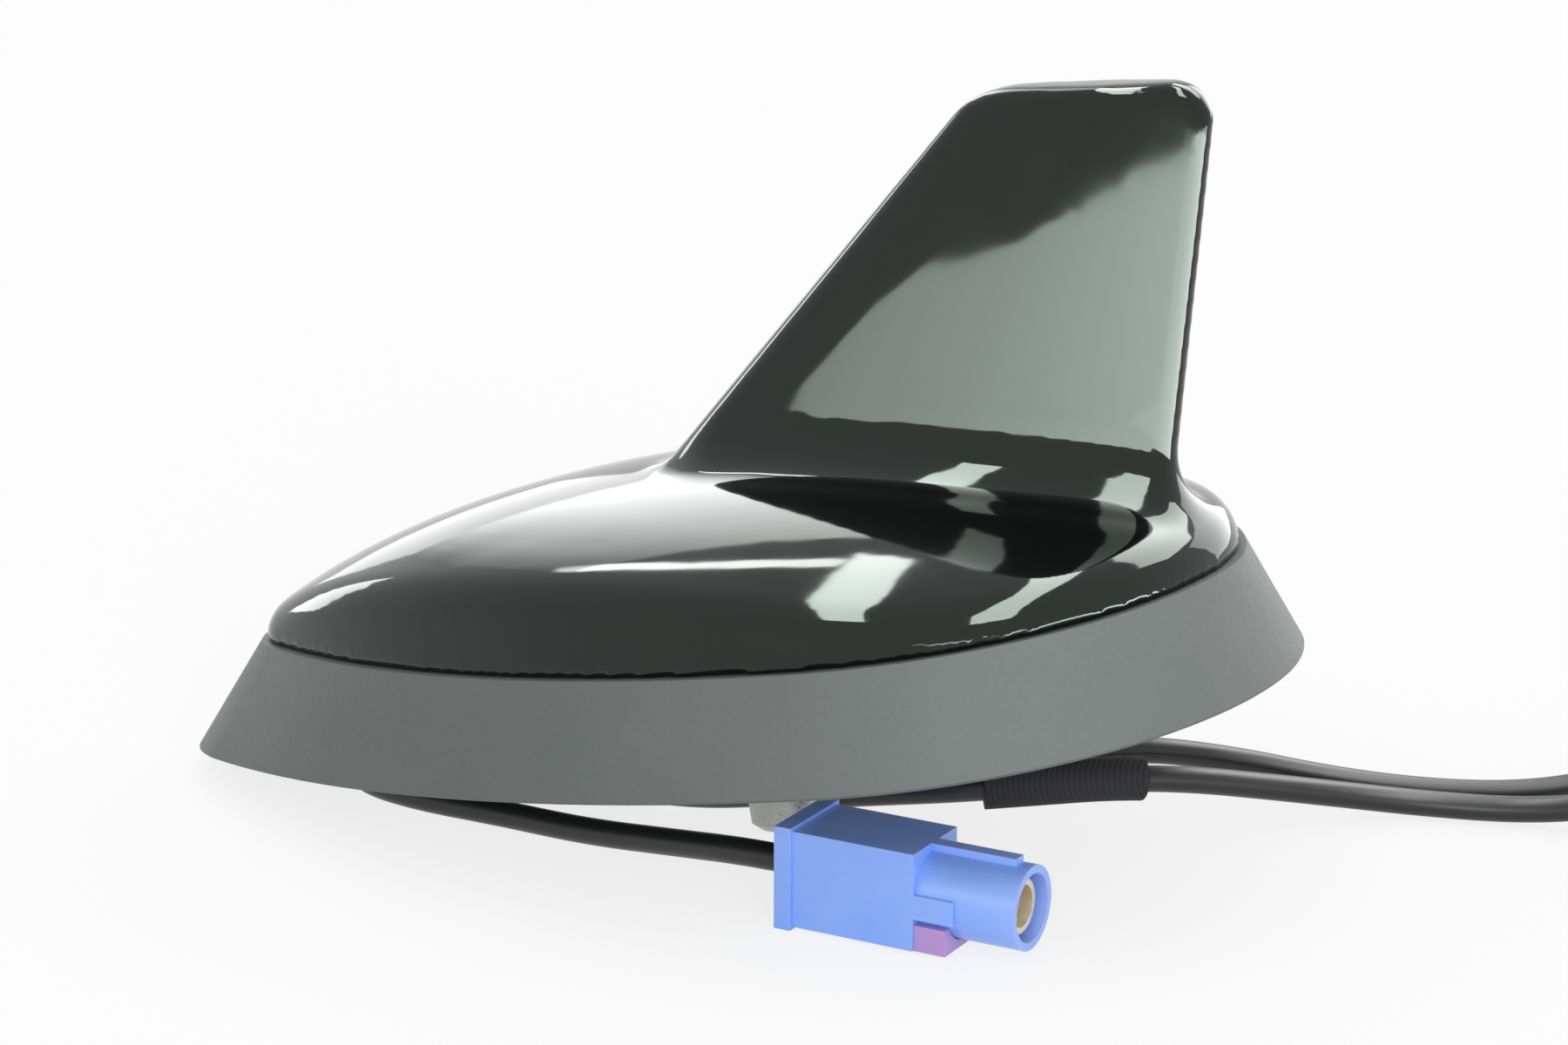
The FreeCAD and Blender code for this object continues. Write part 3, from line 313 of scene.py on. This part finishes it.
# Plug housings: moulded in a colour that codes the service, with keys round a hollow nose.
# The plastic is a glossy polyester that lets a little light in at the edges.
FLOW = 5.0
FLOW_DEPTH = 0.004
HOUSING_EDGE = 0.25
LOCK_EDGE = 0.2
LIGHT_REACH = 0.004


def moulded(name, first, second):
    """Make a coloured plug plastic with faint flow marks."""
    made, tree, shader = material(name, Roughness=0.3, Subsurface_Weight=0.35, Subsurface_Scale=LIGHT_REACH)
    flow = grain(tree, shader, FLOW, FLOW_DEPTH)
    tint(tree, flow, first, second, shader.inputs["Base Color"])
    return made


dress(moulded("blue_polyester", "#82A9FA", "#90B5FD"), "gps_plug_housing")
dress(moulded("bordeaux_polyester", "#5E1424", "#6A1A2B"), "phone_plug_housing")
dress(moulded("ivory_polyester", "#DCD6C2", "#E4DFCE"), "radio_plug_housing")
dress(moulded("violet_polyester", "#B28CCB", "#BD9AD4"), "gps_plug_lock")
dress(moulded("grey_polyester", "#85878A", "#909295"), "phone_plug_lock", "radio_plug_lock")
for key in PLUGS:
    soften(key + "_plug_housing", HOUSING_EDGE)
    soften(key + "_plug_lock", LOCK_EDGE)

# Contacts: a turned brass sleeve and pin held by a white insulator, and a crimped ferrule behind.
# The brass is plated pale and keeps fine tool marks, the ferrule is nickel and brighter.
TOOL_MARK = 0.3
BRASS_DEPTH = 0.002
NICKEL_DEPTH = 0.003
INSULATOR_DEPTH = 0.004
brass, tree, shader = material("plated_brass", Metallic=1.0)
marks = grain(tree, shader, TOOL_MARK, BRASS_DEPTH)
tint(tree, marks, "#E4D9BC", "#EFE6CE", shader.inputs["Base Color"])
spread(tree, marks, 0.42, 0.56, shader.inputs["Roughness"])
nickel, tree, shader = material("nickel_plated_ferrule", Metallic=1.0)
marks = grain(tree, shader, TOOL_MARK, NICKEL_DEPTH)
tint(tree, marks, "#BFBCB4", "#D0CDC6", shader.inputs["Base Color"])
spread(tree, marks, 0.22, 0.34, shader.inputs["Roughness"])
white, tree, shader = material("fluoroplastic_insulator", Roughness=0.45)
marks = grain(tree, shader, TOOL_MARK, INSULATOR_DEPTH)
tint(tree, marks, "#E9E6DC", "#F2EFE6", shader.inputs["Base Color"])
for key in PLUGS:
    dress(brass, key + "_plug_sleeve", key + "_plug_pin")
    dress(white, key + "_plug_insulator")
    dress(nickel, key + "_plug_ferrule")

# The bench: a sheet of white paper that the antenna leans on, in a white room.
# It keeps the soft shadow under the skirt, and is left out of the object.
# A hair of room, in millimetres, keeps it off the plugs.
FLOOR_SIZE = 6000
FLOOR_DROP = 0.02
PAPER_WHITE = 0.8
ROOM_LIGHT = 0.75
floor_mesh = bpy.data.meshes.new("bench_top")
corners = [bench(along * FLOOR_SIZE / 2, across * FLOOR_SIZE / 2, -FLOOR_DROP)
           for along, across in ((-1, -1), (1, -1), (1, 1), (-1, 1))]
floor_mesh.from_pydata(corners, [], [(0, 1, 2, 3)])
floor = bpy.data.objects.new("bench_top", floor_mesh)
bpy.context.scene.collection.objects.link(floor)


def seen_or_mirrored(tree):
    """Give 1 for what the camera sees, straight or by a mirror or through glass."""
    path = add(tree, "LightPath").outputs
    either = add(tree, "Math", {0: path["Is Camera Ray"], 1: path["Is Glossy Ray"]}, operation="MAXIMUM")
    seen = add(tree, "Math", {0: either.outputs[0], 1: path["Is Transmission Ray"]}, operation="MAXIMUM")
    return seen.outputs[0]


paper, tree, shader = material("white_paper", Roughness=0.9)
shader.inputs["Base Color"].default_value = linear("#F8F8F7")
share = add(tree, "Math", {0: seen_or_mirrored(tree), 1: PAPER_WHITE}, operation="MULTIPLY")
white_sheet = add(tree, "Emission", {"Color": linear("#FFFFFF"), "Strength": 1.0})
both = add(tree, "MixShader", {0: share.outputs[0], 1: shader.outputs[0], 2: white_sheet.outputs[0]})
tree.links.new(both.outputs[0], tree.nodes["Material Output"].inputs["Surface"])
floor_mesh.materials.append(paper)

world = bpy.data.worlds.new("white_room")
bpy.context.scene.world = world
world.use_nodes = True
tree = world.node_tree
tree.nodes.clear()
lit = add(tree, "Background", {"Color": linear("#FFFFFF"), "Strength": ROOM_LIGHT})
shown = add(tree, "Background", {"Color": linear("#FFFFFF"), "Strength": 1.0})
both = add(tree, "MixShader", {0: seen_or_mirrored(tree), 1: lit.outputs[0], 2: shown.outputs[0]})
add(tree, "OutputWorld", {"Surface": both.outputs[0]})

# Ceiling lamps: a long tube and two slanting strips over the bench, which only gloss mirrors.
# Their places are read from the highlights in the photograph; a strength of 1 is white paper.
CEILING = 1.0
TUBE_GLOW = 16.0
STRIP_GLOW = 17.0
SECOND_STRIP_GLOW = 15.0


def overhead(along, across, height=CEILING):
    """Give the point over the bench, in metres."""
    return bench_along * along + Vector((0, across, 0)) + bench_up * height


def panel(name, rows, strengths):
    """Hang a bright panel that shows in gloss only, from rows of corners and a strength for each."""
    across = len(rows[0])
    faces = [(k * across + j, k * across + j + 1, (k + 1) * across + j + 1, (k + 1) * across + j)
             for k in range(len(rows) - 1) for j in range(across - 1)]
    mesh = bpy.data.meshes.new(name)
    mesh.from_pydata([corner for row in rows for corner in row], [], faces)
    tone = mesh.attributes.new("tone", "FLOAT", "POINT")
    for k, corner in enumerate(tone.data):
        corner.value = strengths[k // across][k % across]
    glow = bpy.data.materials.new(name)
    glow.use_nodes = True
    tree = glow.node_tree
    tree.nodes.clear()
    level = add(tree, "Attribute", attribute_name="tone")
    light = add(tree, "Emission", {"Color": linear("#FFFFFF"), "Strength": level.outputs["Fac"]})
    add(tree, "OutputMaterial", {"Surface": light.outputs[0]})
    mesh.materials.append(glow)
    made = bpy.data.objects.new(name, mesh)
    bpy.context.scene.collection.objects.link(made)
    made.visible_camera = False
    made.visible_diffuse = False
    made.visible_shadow = False
    made.visible_transmission = False


def even_panel(name, left, right, strength):
    """Hang a panel of one strength between two edges, given as places over the bench."""
    rows = [[overhead(*start), overhead(*end)] for start, end in zip(left, right)]
    panel(name, rows, [[strength] * 2] * len(rows))


even_panel("ceiling_tube",
           [(-1.0, 0.82), (-0.8, 0.7), (-0.65, 0.61), (-0.5, 0.555), (-0.36, 0.53)],
           [(-1.0, 0.77), (-0.8, 0.645), (-0.65, 0.555), (-0.5, 0.495), (-0.36, 0.46)], TUBE_GLOW)
even_panel("ceiling_strip",
           [(-0.36, 0.58), (-0.33, 0.2), (-0.28, -0.2), (-0.25, -0.62)],
           [(-0.25, 0.52), (-0.2, 0.2), (-0.14, -0.2), (-0.06, -0.64)], STRIP_GLOW)
even_panel("ceiling_second_strip",
           [(0.0, 0.43), (0.12, 0.2), (0.25, -0.05), (0.35, -0.3), (0.48, -0.62), (0.8, -1.1)],
           [(0.2, 0.42), (0.35, 0.15), (0.48, -0.1), (0.6, -0.28), (0.8, -0.55), (1.1, -0.9)],
           SECOND_STRIP_GLOW)

# Pale room behind: two ceiling panels, one fading towards the nose, two walls and a window by the nose.
# They whiten the hood's top, which mirrors the room behind it. Places are in metres over the bench.
REAR_GLOW = 9.0
REAR_RIGHT_GLOW = 4.0
SWEEP_GLOW = [1.0, 3.2, 5.2, 6.2]
REAR_WALL_GLOW = 2.6
SIDE_WINDOW_GLOW = 7.0
SWEEP = [(0.74, -0.95, -0.33), (1.0, -1.25, -0.55), (1.5, -1.65, -0.85), (2.0, -1.95, -1.1),
         (2.6, -2.4, -1.4), (3.5, -3.0, -1.9)]
WALL_FOOT = -0.6
even_panel("rear_panel", [(-0.2, 1.35), (-0.1, 0.85), (0.3, 0.52)],
           [(0.75, 1.35), (1.15, 0.85), (0.95, 0.45)], REAR_GLOW)
even_panel("rear_right_wall", [(1.0, 1.11, 0.0), (0.0, 1.5, 0.0)], [(1.0, 1.11, 0.87), (0.0, 1.5, 0.87)],
           REAR_RIGHT_GLOW)
steps = len(SWEEP_GLOW)
sweep_rows = [[overhead(left + (right - left) * k / (steps - 1), across) for k in range(steps)]
              for across, left, right in SWEEP]
panel("rear_sweep", sweep_rows, [SWEEP_GLOW] * len(SWEEP))
across, left, right = SWEEP[-1]
even_panel("rear_wall", [(left, across), (left, across, WALL_FOOT)],
           [(right, across), (right, across, WALL_FOOT)], REAR_WALL_GLOW)
even_panel("side_window", [(-1.1, 0.72, 0.5), (-1.2, 0.6, 0.1), (-1.2, 0.6, -0.4)],
           [(-1.2, 0.45, 0.4), (-1.3, 0.28, 0.1), (-1.3, 0.28, -0.4)], SIDE_WINDOW_GLOW)

# Cards in front: an upright lit card that the fin mirrors, and a bright sheet lying to the right.
# A flag as bright as the room keeps the lit card out of the hood's flank. All are in millimetres.
CARD_ACROSS = -150
CARD = [(-104, 54, 63), (-84, 46, 70), (-62, 38, 66), (-37, 28, 57), (-4, 13, 47), (54, -10, 28),
        (90, -26, 16), (140, -38, -1)]
CARD_GLOW = 6.0, 12.0
FLAG_ACROSS = -50
FLAG_FOOT = -20
FLAG = [(-120, 34), (-45, 30), (0, 25), (15, 22), (30, 16), (50, 8), (70, -2)]
FLAG_GLOW = 1.0
SHEET_OVER = 1
SHEET = [((85, -125), (200, -330), 12.5), ((140, -75), (330, -185), 15.0), ((160, -20), (380, -40), 16.0),
         ((165, 30), (380, 90), 16.0)]


def upright(across, rims):
    """Give an upright card's rows of corners from its place along and its lower and upper rim."""
    return [[Vector((along, across, rim)) / 1000 for rim in (low, high)] for along, low, high in rims]


first, last = CARD[0][0], CARD[-1][0]
card_tones = [CARD_GLOW[0] + (CARD_GLOW[1] - CARD_GLOW[0]) * (along - first) / (last - first)
              for along, low, high in CARD]
panel("front_card", upright(CARD_ACROSS, CARD), [[tone] * 2 for tone in card_tones])
panel("flank_flag", upright(FLAG_ACROSS, [(along, FLAG_FOOT, high) for along, high in FLAG]),
      [[FLAG_GLOW] * 2] * len(FLAG))
panel("right_card", [[bench(*near, SHEET_OVER), bench(*far, SHEET_OVER)] for near, far, tone in SHEET],
      [[tone] * 2 for near, far, tone in SHEET])

# Soft lamp: one round diffuser low in front and to the right, which gives the shading.
# Gloss doesn't mirror it, since the panels stand for all the lamps that show.
LAMP_SIZE = 0.6
LAMP_POWER = 5.4
LAMP_PLACE = 0.72, -1.0, 0.33
soft_lamp = bpy.data.lights.new("soft_lamp", "AREA")
soft_lamp.shape = "DISK"
soft_lamp.size = LAMP_SIZE
soft_lamp.energy = LAMP_POWER
lamp = bpy.data.objects.new("soft_lamp", soft_lamp)
bpy.context.scene.collection.objects.link(lamp)
lamp.location = overhead(*LAMP_PLACE)
lamp.rotation_euler = lamp.location.to_track_quat("Z", "Y").to_euler()
lamp.visible_glossy = False

# Camera: as in the photograph, low over the bench and level with it.
# Its place and turn are fitted to the skirt's outline, the fin's top and the plug.
SENSOR = 36.0
LENS = 88.96
EYE = Vector((0.15582, -0.35821, 0.09834))
AZIMUTH, ELEVATION, ROLL = (math.radians(v) for v in (23.0, 11.58, -9.28))
camera_data = bpy.data.cameras.new("camera")
camera = bpy.data.objects.new("camera", camera_data)
bpy.context.scene.collection.objects.link(camera)
bpy.context.scene.camera = camera
camera_data.sensor_width = SENSOR
camera_data.lens = LENS
back = Vector((math.sin(AZIMUTH) * math.cos(ELEVATION), -math.cos(AZIMUTH) * math.cos(ELEVATION),
               math.sin(ELEVATION)))
level = Vector((math.cos(AZIMUTH), math.sin(AZIMUTH), 0))
above = back.cross(level)
right = level * math.cos(ROLL) + above * math.sin(ROLL)
up = above * math.cos(ROLL) - level * math.sin(ROLL)
view = Matrix((right, up, back)).transposed().to_4x4()
view.translation = EYE
camera.matrix_world = view

bpy.context.scene.view_settings.view_transform = "Standard"
